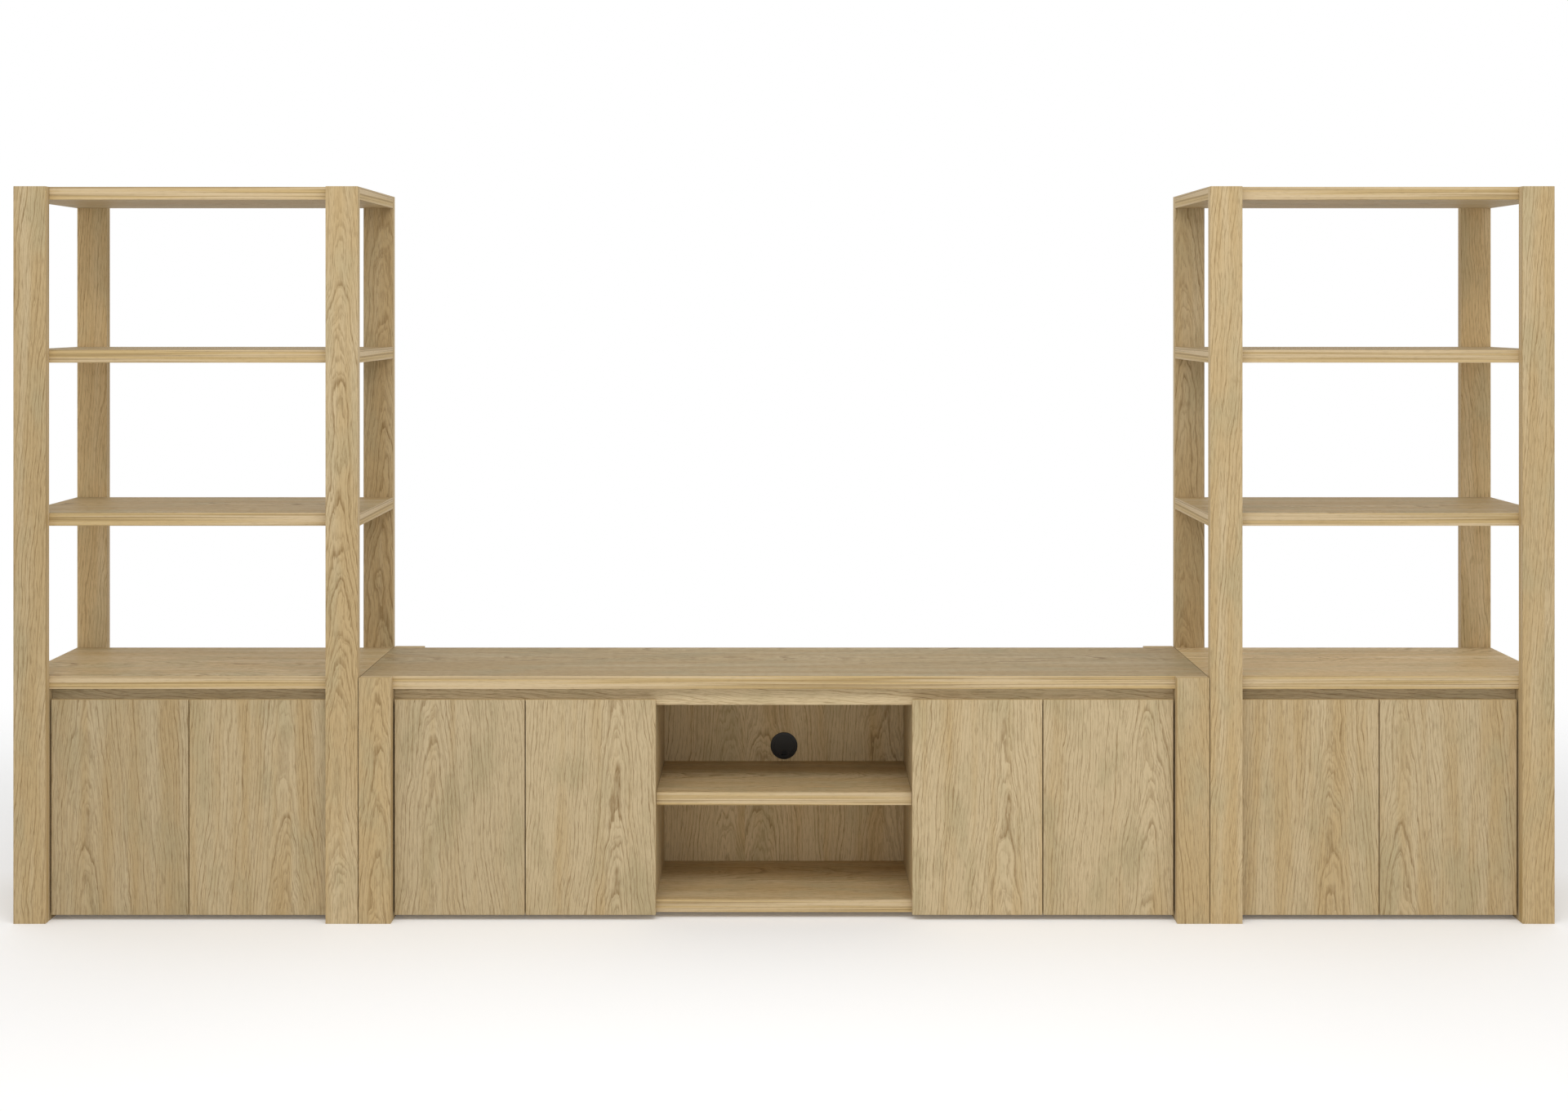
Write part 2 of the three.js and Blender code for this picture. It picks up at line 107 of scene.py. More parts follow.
def oak_pattern():
    """White oak under a matt clear lacquer. The growth rings are cut by the board's face, so the face shows
    pointed arches where it lies square to them and close lines beside. Pores are fine dark dashes."""
    ring_pitch = 0.0088  # real rings are 2 to 4 mm apart; drawn wider so that they show from a few metres
    taper = 0.07  # the rings' lean along the board, which makes the arches
    # Grain sizes of each noise in metres: along the board, across it and through it
    noise_sizes = {
        "sway": (0.38, 0.13, 0.3),  # slow bends of the rings
        "waver": (0.075, 0.017, 0.05),  # short bends
        "tremble": (0.02, 0.0055, 0.02),  # the ragged edge of a row of pores
        "dash": (0.04, 0.0045, 0.01),  # a row of pores that fades and comes back
        "pore": (0.026, 0.0021, 0.002),  # real pores are 0.3 mm wide; drawn wider to show at all
        "broad": (0.8, 0.05, 0.2),  # bands of warmer and greyer wood
        "cloud": (0.22, 0.1, 0.2),
    }
    sway, waver, tremble = 0.05, 0.0085, 0.0018  # how far each noise moves the rings
    pale, honey, grey = linear("c8b48f"), linear("bea57a"), linear("b5a580")
    ring_dark, pore_dark = linear("7d6138"), linear("735a38")
    tree = bpy.data.node_groups.new("white oak, matt lacquer", "ShaderNodeTree")
    for name, kind in (("Grain", "Vector"), ("Facing", "Vector"), ("Pith Across", "Float"),
                       ("Pith Depth", "Float"), ("Leaf Width", "Float"), ("Tone", "Float"),
                       ("Warmth", "Float")):
        tree.interface.new_socket(name, in_out="INPUT", socket_type=f"NodeSocket{kind}")
    for name, kind in (("Color", "Color"), ("Roughness", "Float"), ("Height", "Float")):
        tree.interface.new_socket(name, in_out="OUTPUT", socket_type=f"NodeSocket{kind}")
    given = add(tree, "NodeGroupInput")
    along, across, through = add(tree, "SeparateXYZ", [given["Grain"]])
    facing_end, _, facing_face = add(tree, "SeparateXYZ", [given["Facing"]])

    # A wide face is laid up from leaves of veneer side by side, and every second one is turned over
    half = add(tree, "Math", [given["Leaf Width"], 0.5], operation="MULTIPLY")[0]
    from_seam = add(tree, "Math", [across, half], operation="ADD")[0]
    folded = add(tree, "Math", [from_seam, given["Leaf Width"]], operation="PINGPONG")[0]
    in_leaf = add(tree, "Math", [folded, half], operation="SUBTRACT")[0]
    leaf = add(tree, "Math", [from_seam, given["Leaf Width"]], operation="DIVIDE")[0]
    leaf = add(tree, "Math", [leaf], operation="FLOOR")[0]
    leaf_step = 0.37  # each leaf starts this much further along the tree
    leaf_along = add(tree, "Math", [leaf, leaf_step, along], operation="MULTIPLY_ADD")[0]
    place = add(tree, "CombineXYZ", [leaf_along, in_leaf, through])[0]
    noises = {}
    for name, size in noise_sizes.items():
        stretched = add(tree, "Mapping", {"Vector": place, "Scale": [1 / s for s in size]})[0]
        inputs = {"Vector": stretched, "Scale": 1.0, "Detail": 2.0, "Roughness": 0.55}
        noises[name] = add(tree, "TexNoise", inputs, noise_dimensions="3D")["Fac"]

    # The rings: cylinders round the tree's middle, which lies beside and behind the face
    from_pith = add(tree, "Math", [in_leaf, given["Pith Across"]], operation="ADD")[0]
    depth = add(tree, "Math", [through, given["Pith Depth"]], operation="ADD")[0]
    spoke = add(tree, "CombineXYZ", [from_pith, depth, 0.0])[0]
    radius = add(tree, "VectorMath", [spoke], operation="LENGTH")["Value"]
    for noise, reach in (("sway", sway), ("waver", waver), ("tremble", tremble)):
        radius = add(tree, "Math", [noises[noise], reach, radius], operation="MULTIPLY_ADD")[0]
    radius = add(tree, "Math", [leaf_along, taper, radius], operation="MULTIPLY_ADD")[0]
    lines = 0.0
    # Strong lines, one to a ring, and fainter ones between them: rings per pitch, dark end, strength
    for often, rise, end, strength in ((1.0, 0.07, 0.4, 1.0), (2.7, 0.12, 0.6, 0.6)):
        ring = add(tree, "Math", [radius, often / ring_pitch], operation="MULTIPLY")[0]
        within = add(tree, "Math", [ring], operation="FRACT")[0]
        opens = add(tree, "MapRange", [within, 0.0, rise], interpolation_type="SMOOTHSTEP")[0]
        closes = add(tree, "MapRange", [within, end, rise], interpolation_type="SMOOTHSTEP")[0]
        line = add(tree, "Math", [opens, closes], operation="MULTIPLY")[0]
        number = add(tree, "Math", [ring], operation="FLOOR")[0]
        year = add(tree, "TexWhiteNoise", {"W": number}, noise_dimensions="1D")["Value"]
        year = add(tree, "MapRange", [year, 0.0, 1.0, 0.3 * strength, strength])[0]
        line = add(tree, "Math", [line, year], operation="MULTIPLY")[0]
        lines = add(tree, "Math", [lines, line], operation="MAXIMUM")[0]
    rows = add(tree, "MapRange", [noises["dash"], 0.35, 0.58, 0.5, 1.0])[0]
    lines = add(tree, "Math", [lines, rows], operation="MULTIPLY")[0]
    pores = add(tree, "MapRange", [noises["pore"], 0.5, 0.7], interpolation_type="SMOOTHSTEP")[0]

    banded = add(tree, "Math", [noises["broad"], given["Warmth"]], operation="ADD")[0]
    warm = add(tree, "MapRange", [banded, 0.35, 0.68], interpolation_type="SMOOTHSTEP")[0]
    face = add(tree, "Mix", {0: warm, 6: pale, 7: honey}, data_type="RGBA")[2]
    dull = add(tree, "MapRange", [noises["cloud"], 0.45, 0.72, 0.0, 0.75],
               interpolation_type="SMOOTHSTEP")[0]
    face = add(tree, "Mix", {0: dull, 6: face, 7: grey}, data_type="RGBA")[2]
    shown = add(tree, "Math", [lines, 0.8], operation="MULTIPLY")[0]
    face = add(tree, "Mix", {0: shown, 6: face, 7: ring_dark}, data_type="RGBA")[2]
    shown = add(tree, "Math", [pores, 0.36], operation="MULTIPLY")[0]
    face = add(tree, "Mix", {0: shown, 6: face, 7: pore_dark}, data_type="RGBA")[2]

    # The lipped edges: lines run along the edge, one over the other through the thickness
    streak_size, gold_size = (0.9, 1.0, 0.0032), (0.9, 1.0, 0.011)
    lip_pale, lip_gold, lip_dark = linear("cbb590"), linear("c3a979"), linear("8b7248")
    on_end = add(tree, "Math", [facing_end], operation="ABSOLUTE")[0]
    square_on = 0.7  # a face counts as looking along an axis above this share of its normal
    on_end = add(tree, "Math", [on_end, square_on], operation="GREATER_THAN")[0]
    end_along = add(tree, "Math", [across, 5.0], operation="ADD")[0]
    lip_along = add(tree, "Mix", {0: on_end, 2: along, 3: end_along})[0]
    lip_place = add(tree, "CombineXYZ", [lip_along, 0.0, through])[0]
    lip_noises = []
    for size in (streak_size, gold_size, noise_sizes["pore"]):
        stretched = add(tree, "Mapping", {"Vector": lip_place, "Scale": [1 / s for s in size]})[0]
        inputs = {"Vector": stretched, "Scale": 1.0, "Detail": 2.0, "Roughness": 0.55}
        lip_noises.append(add(tree, "TexNoise", inputs, noise_dimensions="3D")["Fac"])
    gold = add(tree, "MapRange", [lip_noises[1], 0.42, 0.6], interpolation_type="SMOOTHSTEP")[0]
    lip = add(tree, "Mix", {0: gold, 6: lip_pale, 7: lip_gold}, data_type="RGBA")[2]
    streak = add(tree, "MapRange", [lip_noises[0], 0.5, 0.59, 0.0, 0.62],
                 interpolation_type="SMOOTHSTEP")[0]
    lip = add(tree, "Mix", {0: streak, 6: lip, 7: lip_dark}, data_type="RGBA")[2]
    speck = add(tree, "MapRange", [lip_noises[2], 0.5, 0.75, 0.0, 0.25], interpolation_type="SMOOTHSTEP")[0]
    lip = add(tree, "Mix", {0: speck, 6: lip, 7: pore_dark}, data_type="RGBA")[2]

    on_face = add(tree, "Math", [facing_face], operation="ABSOLUTE")[0]
    on_face = add(tree, "Math", [on_face, square_on], operation="GREATER_THAN")[0]
    toned = add(tree, "HueSaturation", {"Value": given["Tone"], "Color": face})[0]
    colour = add(tree, "Mix", {0: on_face, 6: lip, 7: toned}, data_type="RGBA")[2]
    hollow = add(tree, "Math", [lines, 0.7, pores], operation="MULTIPLY_ADD")[0]
    height = add(tree, "Math", [1.0, hollow], operation="SUBTRACT")[0]
    roughness = add(tree, "Math", [pores, 0.2, 0.52], operation="MULTIPLY_ADD")[0]
    add(tree, "NodeGroupOutput", {"Color": colour, "Roughness": roughness, "Height": height})
    return tree


oak = oak_pattern()


def veneer(piece, run, pith, tone=1.0, warmth=0.0, leaf=9.0):
    """Gives a board its own oak. run names the board's axes along the grain, across it and through the
    board; pith is how far beside and behind the face the tree's middle lies, in metres."""
    low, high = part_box(piece.name)
    made, tree = blank_material(f"oak veneer, {piece.name}")
    coordinates = add(tree, "TexCoord")
    shift = [-c for c in (low + high) / 2]
    shift["XYZ".index(run[0])] += chance.uniform(2, 60)  # another stretch of the tree for each board
    placed = add(tree, "Mapping", {"Vector": coordinates["Object"], "Location": shift})[0]
    turned = []
    for vector in (placed, coordinates["Normal"]):
        apart = add(tree, "SeparateXYZ", [vector])
        turned.append(add(tree, "CombineXYZ", [apart[axis] for axis in run])[0])
    growth = {"Grain": turned[0], "Facing": turned[1], "Pith Across": pith[0], "Pith Depth": pith[1],
              "Leaf Width": leaf, "Tone": tone, "Warmth": warmth}
    wood = add(tree, "Group", growth, node_tree=oak)
    bump = add(tree, "Bump", {"Strength": 0.5, "Distance": 0.00015, "Height": wood["Height"]})[0]
    lacquer = {"Base Color": wood["Color"], "Roughness": wood["Roughness"], "Normal": bump,
               "IOR": 1.5, "Specular IOR Level": 0.12}
    shader = add(tree, "BsdfPrincipled", lacquer)[0]
    add(tree, "OutputMaterial", {"Surface": shader})
    piece.data.materials.clear()
    piece.data.materials.append(made)


def soften(piece, width):
    """Eases the sharp edges of a board, as a maker does with fine sandpaper."""
    weld = piece.modifiers.new("joined corners", "WELD")
    weld.merge_threshold = 1e-6
    eased = piece.modifiers.new("eased edges", "BEVEL")
    eased.width = width
    eased.segments = 2
    eased.limit_method = "ANGLE"
    eased.angle_limit = math.radians(30)


chance = random.Random(11)
post_ease, post_pith_depth = 0.0009, 0.045
flat_sawn_posts = ("left_pier_front_right_post", "left_pier_rear_right_post", "right_pier_rear_left_post",
                   "console_front_left_post", "console_rear_right_post")
for name, piece in nodes.items():
    if name.endswith("_post"):
        if name in flat_sawn_posts:
            beside = chance.uniform(-0.015, 0.015)
        else:
            beside = chance.choice((-1, 1)) * chance.uniform(0.09, 0.15)
        tone = chance.uniform(0.95, 1.01)
        if name in ("left_pier_rear_left_post", "right_pier_rear_right_post"):
            tone = 1.25  # lifted, as little light reaches these two
        elif name.startswith("right_pier_front"):
            tone = 1.06  # set a little paler than most posts
        veneer(piece, "ZXY", (beside, post_pith_depth), tone, warmth=0.1)
        soften(piece, post_ease)

# ---------------------------------------------------------------------------------------------------------
# Tops and open shelves. 32 mm boards over the full width of each unit, veneered along their length and
# lipped with oak strips, screwed to the posts in front and behind. The bay shelf and the bottoms are alike.
# ---------------------------------------------------------------------------------------------------------

board_ease, board_pith_depth = 0.0008, 0.07
leaf_width = 0.24  # a leaf of veneer on the boards, sides, partitions and inner shelves
# Painted light and shade: these boards are made paler where shelves or the dim bay shade them, and darker on
# tops open to the lamp
board_tones = {"left_pier_cabinet_top": 1.08, "right_pier_cabinet_top": 1.25, "console_top": 0.83,
               "console_bay_shelf": 1.12, "console_bottom": 1.12,
               "left_pier_top": 0.9, "right_pier_top": 0.9}  # painted light and shade, set board by board
for name, piece in nodes.items():
    if name.endswith(("_top", "_upper_shelf", "_lower_shelf", "_bottom", "_bay_shelf")):
        tone = board_tones.get(name, 0.97)
        pith = (chance.uniform(-0.05, 0.05), board_pith_depth)
        veneer(piece, "XYZ", pith, tone, warmth=0.05, leaf=leaf_width)
        soften(piece, board_ease)

# ---------------------------------------------------------------------------------------------------------
# Rails, sides and partitions. 18 mm veneered panels. A rail hangs under the top behind the finger gap, the
# inner sides and the partitions carry hinges and shelf pins, and the outer sides close the space between
# the posts.
# ---------------------------------------------------------------------------------------------------------

panel_ease = 0.0006
rail_pith = (0.12, 0.08)
for name, piece in nodes.items():
    if name.endswith("_rail"):
        # Painted light and shade: the console's rail, lit across the open bay, is made paler, and the piers'
        # rails, shaded behind the finger gap, darker
        tone = 1.1 if name.startswith("console") else 0.88  # painted light and shade
        veneer(piece, "XZY", rail_pith, tone, warmth=-0.15)
        soften(piece, panel_ease)
    elif name.endswith(("_side", "_partition")):
        pith = (chance.uniform(-0.05, 0.05), board_pith_depth)
        veneer(piece, "ZYX", pith, chance.uniform(0.94, 0.98), leaf=leaf_width)
        soften(piece, panel_ease)

# ---------------------------------------------------------------------------------------------------------
# Back panels. One 8 mm sheet to a unit, let into the carcass behind the shelves. Its oak veneer runs upright
# and is laid up in leaves side by side, a little narrower than those of the boards.
# ---------------------------------------------------------------------------------------------------------

back_pith, back_leaf_width = (0.06, 0.06), 0.21
for name, piece in nodes.items():
    if name.endswith("_back_panel"):
        tone = 1.3 if name.startswith("console") else 1.0  # lifted in the dim open bay
        veneer(piece, "ZXY", back_pith, tone, warmth=-0.08, leaf=back_leaf_width)

# ---------------------------------------------------------------------------------------------------------
# Shelves behind the doors. 18 mm boards veneered along their length. They lie loose on their pins, so that
# they lift off and can be set at another height.
# ---------------------------------------------------------------------------------------------------------

for name, piece in nodes.items():
    if name.endswith("_inner_shelf"):
        pith = (chance.uniform(-0.08, 0.08), board_pith_depth)
        veneer(piece, "XYZ", pith, 0.97, leaf=leaf_width)
        soften(piece, panel_ease)

# ---------------------------------------------------------------------------------------------------------
# Doors. 18 mm slabs with upright oak veneer, lipped all round, with a finger bevel behind the top edge and
# two bores for hinge cups in the back. Each door's tone is listed.
# ---------------------------------------------------------------------------------------------------------

door_ease, door_pith_depth = 0.0011, 0.04
door_tones = {"left_pier_left_door": 0.86, "left_pier_right_door": 0.92, "console_door_1": 0.9,
              "console_door_2": 0.96, "console_door_3": 1.02, "console_door_4": 1.0,
              "right_pier_left_door": 0.99, "right_pier_right_door": 0.97}
doors = [piece for name, piece in nodes.items() if "door" in name]
for piece in doors:
    in_console = piece.name.startswith("console")
    tone = door_tones[piece.name]
    beside = chance.choice((-1, 1)) * chance.uniform(0.05, 0.12)
    veneer(piece, "ZXY", (beside, door_pith_depth), tone, warmth=-0.1 if in_console else 0.0)
    soften(piece, door_ease)

# ---------------------------------------------------------------------------------------------------------
# Hinge cups. Two concealed hinges to a door: a pressed bowl fills each 35 mm bore, its winged flange is
# screwed to the door's back, and a rivet across the bowl carries the link. Nickel-plated steel.
# ---------------------------------------------------------------------------------------------------------


def begin(name, primitive, **measures):
    """Adds a primitive at its size and place, ready to be shaped in edit mode."""
    bpy.ops.object.select_all(action="DESELECT")
    primitive(**measures)
    piece = bpy.context.object
    piece.name = piece.data.name = name
    bpy.ops.object.transform_apply(location=True, rotation=True, scale=True)
    bpy.ops.object.mode_set(mode="EDIT")
    return piece


def choose(piece, kind, test):
    """Selects the faces or edges whose place or normal passes a test, and nothing else."""
    bpy.ops.mesh.select_mode(type=kind)
    bpy.ops.mesh.select_all(action="DESELECT")
    mesh = bmesh.from_edit_mesh(piece.data)
    for element in list(mesh.faces if kind == "FACE" else mesh.edges):
        if test(element):
            element.select_set(True)
    mesh.select_flush_mode()
    bmesh.update_edit_mesh(piece.data)


def runs_along(axis):
    """A test for the edges that run along an axis."""
    return lambda edge: abs((edge.verts[0].co - edge.verts[1].co).normalized()[axis]) > 0.99


def faces_to(axis, sign):
    """A test for the faces that look along an axis."""
    return lambda face: face.normal[axis] * sign > 0.9


def push(vector):
    """Extrudes the chosen faces along a vector."""
    bpy.ops.mesh.extrude_region_move(TRANSFORM_OT_translate={"value": vector})


def boolean(piece, other, operation):
    """Joins another solid to a piece, or cuts it out of it, and uses it up."""
    change = piece.modifiers.new(operation.lower(), "BOOLEAN")
    change.operation = operation
    change.solver = "EXACT"
    change.object = other
    bpy.context.view_layer.objects.active = piece
    bpy.ops.object.modifier_apply(modifier=change.name)
    bpy.data.objects.remove(other)


def copy_of(piece, name, matrix):
    """A copy with its own mesh, moved by a matrix. A mirrored copy has its faces turned out again."""
    twin = piece.copy()
    twin.data = piece.data.copy()
    twin.name = twin.data.name = name
    bpy.context.scene.collection.objects.link(twin)
    twin.data.transform(matrix)
    if matrix.is_negative:
        bpy.ops.object.select_all(action="DESELECT")
        bpy.context.view_layer.objects.active = twin
        bpy.ops.object.mode_set(mode="EDIT")
        bpy.ops.mesh.select_all(action="SELECT")
        bpy.ops.mesh.normals_make_consistent(inside=False)
        bpy.ops.object.mode_set(mode="OBJECT")
    return twin


def join(name, parts):
    """Makes one named piece of its parts, with its curved faces shaded smooth."""
    bpy.ops.object.select_all(action="DESELECT")
    for part in parts:
        part.select_set(True)
    bpy.context.view_layer.objects.active = parts[0]
    if len(parts) > 1:
        bpy.ops.object.join()
    bpy.ops.object.shade_smooth_by_angle(angle=math.radians(35))
    parts[0].name = parts[0].data.name = name
    return parts[0]


# A countersunk screw with a cross recess; its head looks along +Y from the origin
screw_radius, screw_height, recess_width = 0.0034, 0.0013, 0.0009
screw = begin("screw", bpy.ops.mesh.primitive_cylinder_add, vertices=24, radius=screw_radius,
              depth=screw_height, location=(0, screw_height / 2, 0), rotation=(math.pi / 2, 0, 0))
choose(screw, "EDGE", lambda edge: min(v.co.y for v in edge.verts) > screw_height * 0.9)
bpy.ops.mesh.bevel(offset=screw_height * 0.5, segments=3, affect="EDGES")
bpy.ops.object.mode_set(mode="OBJECT")
for size in ((recess_width, screw_radius * 1.2), (screw_radius * 1.2, recess_width)):
    recess = begin("recess", bpy.ops.mesh.primitive_cube_add, size=1, location=(0, screw_height, 0),
                   scale=(size[0], screw_height, size[1]))
    bpy.ops.object.mode_set(mode="OBJECT")
    boolean(screw, recess, "DIFFERENCE")

# The bowl: a disc for the flange, drawn out behind and hollowed in front. Y is 0 at the door's back
cup_inset, cup_radius, cup_depth, cup_wall = 0.0225, 0.0173, 0.0115, 0.0009
flange_radius, flange_thickness, bowl_rounding = 0.0195, 0.001, 0.0015
cup = begin("cup", bpy.ops.mesh.primitive_cylinder_add, vertices=48, radius=flange_radius,
            depth=flange_thickness, location=(cup_inset, flange_thickness / 2, 0),
            rotation=(math.pi / 2, 0, 0))
choose(cup, "FACE", faces_to(1, -1))
bpy.ops.mesh.inset(thickness=flange_radius - cup_radius)
push((0, -cup_depth, 0))
choose(cup, "FACE", faces_to(1, 1))
bpy.ops.mesh.inset(thickness=flange_radius - cup_radius + cup_wall)
push((0, cup_wall - cup_depth - flange_thickness, 0))
choose(cup, "EDGE", lambda edge: all(abs(v.co.y - cup_wall + cup_depth) < 1e-5 for v in edge.verts))
bpy.ops.mesh.bevel(offset=bowl_rounding, segments=3, affect="EDGES")
bpy.ops.object.mode_set(mode="OBJECT")

wing_width, wing_length, wing_thickness, wing_offset = 0.014, 0.060, 0.0007, 0.0085
wing_middle, wing_corner, mouth_depth = 0.0005, 0.006, 0.01
wing = begin("wing", bpy.ops.mesh.primitive_cube_add, size=1,
             scale=(wing_width, wing_thickness, wing_length),
             location=(cup_inset + wing_offset, wing_middle, 0))
choose(wing, "EDGE", runs_along(1))
bpy.ops.mesh.bevel(offset=wing_corner, segments=6, affect="EDGES")
bpy.ops.object.mode_set(mode="OBJECT")
mouth = begin("mouth", bpy.ops.mesh.primitive_cylinder_add, vertices=48, radius=cup_radius + cup_wall,
              depth=mouth_depth, location=(cup_inset, 0, 0), rotation=(math.pi / 2, 0, 0))
bpy.ops.object.mode_set(mode="OBJECT")
boolean(wing, mouth, "DIFFERENCE")
boolean(cup, wing, "UNION")
rivet_place = Vector((0.022, -0.006, 0))
rivet_radius, rivet_ease = 0.0014, 0.0003
rivet = begin("rivet", bpy.ops.mesh.primitive_cylinder_add, vertices=16, radius=rivet_radius,
              depth=2 * cup_radius - cup_wall, location=rivet_place)
choose(rivet, "EDGE", lambda edge: not runs_along(2)(edge))
bpy.ops.mesh.bevel(offset=rivet_ease, segments=2, affect="EDGES")
bpy.ops.object.mode_set(mode="OBJECT")
cup_screw = Vector((0.032, wing_thickness, 0.0225))
fixings = [copy_of(screw, "screw", Matrix.Translation((cup_screw.x, cup_screw.y, side * cup_screw.z)))
           for side in (-1, 1)]
cup = join("cup", [cup, rivet, *fixings])

# Nickel plate on pressed steel: a soft, slightly warm shine with the faint ripple of the pressing
nickel, tree = blank_material("nickel-plated pressed steel")
where = add(tree, "TexCoord")["Object"]
ripple = add(tree, "TexNoise", {"Vector": where, "Scale": 260.0, "Detail": 3.0})["Fac"]
cloudy = add(tree, "TexNoise", {"Vector": where, "Scale": 60.0, "Detail": 2.0})["Fac"]
plate = add(tree, "Mix", {0: cloudy, 6: linear("cfcbc3"), 7: linear("b9b5ac")}, data_type="RGBA")[2]
shine = add(tree, "Math", [ripple, 0.2, 0.2], operation="MULTIPLY_ADD")[0]
relief = add(tree, "Bump", {"Strength": 0.2, "Distance": 0.0001, "Height": ripple})[0]
metal = {"Base Color": plate, "Roughness": shine, "Metallic": 1.0, "Normal": relief}
shader = add(tree, "BsdfPrincipled", metal)[0]
add(tree, "OutputMaterial", {"Surface": shader})


def finish(piece, material):
    """Gives a piece its material, and keeps its flat faces flat beside their rounded edges."""
    piece.data.materials.clear()
    piece.data.materials.append(material)
    flat = piece.modifiers.new("flat faces stay flat", "WEIGHTED_NORMAL")
    flat.keep_sharp = True


hinge_end_distance = 0.09
hinge_places = {}  # each door's two hinges: X away from the hinge edge, Y 0 at the door's back
for door in doors:
    low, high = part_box(door.name)
    joint = next(j for j in frame["joints"] if j["child"] == door.name)
    on_left = joint["axis"][2] < 0
    edge = low.x if on_left else high.x
    mirror = Matrix.Diagonal((1 if on_left else -1, 1, 1, 1))
    hinge_places[door.name] = [Matrix.Translation((edge, high.y, z)) @ mirror
                               for z in (low.z + hinge_end_distance, high.z - hinge_end_distance)]
    places = hinge_places[door.name]
    cups = join(f"{door.name}_hinge_cups", [copy_of(cup, "cup", place) for place in places])
    finish(cups, nickel)
    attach(cups, door.name)
bpy.data.objects.remove(cup)

# ---------------------------------------------------------------------------------------------------------
# Hinge arms. A cross plate is screwed to the side panel or partition, and an arm is screwed on it. The arm
# is cranked over to where the link leaves it, by as much as the door's place beside the panel asks.
# ---------------------------------------------------------------------------------------------------------

plate_thickness, plate_reach, arm_height, arm_width = 0.003, (0.026, 0.052), 0.009, 0.014
plate_width, ear_length, ear_step, ear_rounding, plate_screw = 0.018, 0.018, 0.0004, 0.009, 0.021
arm_rear, crank_rear, crank_front, arm_front = 0.066, 0.030, 0.012, 0.003
arm_wall, arm_hollow, arm_rounding, arm_screws = 0.0012, 0.8, 0.0008, (0.040, 0.058)
link_start = Vector((0.027, 0.006, 0))  # where the link leaves the arm, from the door's hinge edge
uprights = {
    "left_pier_left_door": "left_pier_left_inner_side",
    "left_pier_right_door": "left_pier_right_inner_side",
    "right_pier_left_door": "right_pier_left_inner_side",
    "right_pier_right_door": "right_pier_right_inner_side",
    "console_door_1": "console_left_inner_side",
    "console_door_2": "console_left_partition",
    "console_door_3": "console_right_partition",
    "console_door_4": "console_right_inner_side",
}
turned = Matrix.Rotation(-math.pi / 2, 4, "Z")  # a screw that looks along +X
for door in doors:
    low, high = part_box(uprights[door.name])
    places = hinge_places[door.name]
    to_hinge = places[0].inverted()
    face = max((to_hinge @ low).x, (to_hinge @ high).x)  # the panel's face, from the door's edge
    arm_low = face + plate_thickness
    crank = link_start.x - arm_low - arm_height / 2
    middle = sum(plate_reach) / 2
    plate = begin("plate", bpy.ops.mesh.primitive_cube_add, size=1,
                  scale=(plate_thickness, plate_reach[1] - plate_reach[0], plate_width),
                  location=(face + plate_thickness / 2, middle, 0))
    for side in (-1, 1):
        choose(plate, "FACE", faces_to(2, side))
        bpy.ops.mesh.inset(thickness=ear_step)
        push((0, 0, side * ear_length))
        choose(plate, "EDGE", lambda edge: runs_along(0)(edge)
               and edge.verts[0].co.z * side > (plate_width + ear_length) / 2)
        bpy.ops.mesh.bevel(offset=ear_rounding, segments=6, affect="EDGES")
    bpy.ops.object.mode_set(mode="OBJECT")
    arm = begin("arm", bpy.ops.mesh.primitive_cube_add, size=1,
                scale=(arm_height, arm_rear - crank_rear, arm_width),
                location=(arm_low + arm_height / 2, (arm_rear + crank_rear) / 2, 0))
    choose(arm, "FACE", faces_to(1, -1))
    push((crank, crank_front - crank_rear, 0))
    push((0, arm_front - crank_front, 0))
    bpy.ops.mesh.inset(thickness=arm_wall)
    push((0, (crank_front - arm_front) * arm_hollow, 0))
    bpy.ops.object.mode_set(mode="OBJECT")
    rounded = arm.modifiers.new("pressed corners", "BEVEL")
    rounded.width, rounded.segments = arm_rounding, 2
    bpy.context.view_layer.objects.active = arm
    bpy.ops.object.modifier_apply(modifier=rounded.name)
    spots = [(arm_low, middle, -plate_screw), (arm_low, middle, plate_screw),
             *((arm_low + arm_height, y, 0) for y in arm_screws)]
    fixings = [copy_of(screw, "screw", Matrix.Translation(spot) @ turned) for spot in spots]
    whole = join("arm", [arm, plate, *fixings])
    arms = join(f"{door.name}_hinge_arms", [copy_of(whole, "arm", place) for place in places])
    bpy.data.objects.remove(whole)
    finish(arms, nickel)
    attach(arms, "carcass")

# ---------------------------------------------------------------------------------------------------------
# Hinge links. A steel strap runs from each arm into the bowl and turns round the rivet there. On the real
# hinge it swings out with the door; here each link is set where the door is shut and joined to no body.
# ---------------------------------------------------------------------------------------------------------

link_thickness, link_width, link_cuts = 0.0018, 0.011, 23
reach = link_start - rivet_place
link = begin("link", bpy.ops.mesh.primitive_cube_add, size=1,
             scale=(link_thickness, reach.length + link_thickness, link_width))
choose(link, "EDGE", runs_along(1))
bpy.ops.mesh.subdivide(number_cuts=link_cuts)
bpy.ops.object.mode_set(mode="OBJECT")
lean = math.atan2(-reach.x, reach.y)
lie = Matrix.Translation((link_start + rivet_place) / 2) @ Matrix.Rotation(lean, 4, "Z")
for door in doors:
    places = hinge_places[door.name]
    links = join(f"{door.name}_hinge_links", [copy_of(link, "link", place @ lie) for place in places])
    finish(links, nickel)
    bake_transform(links)
bpy.data.objects.remove(link)
bpy.data.objects.remove(screw)

# ---------------------------------------------------------------------------------------------------------
# Shelf pins. Four nickel-plated pins under each inner shelf: a shank in the upright's hole, a collar at its
# face, and a peg that the shelf lies on.
# ---------------------------------------------------------------------------------------------------------

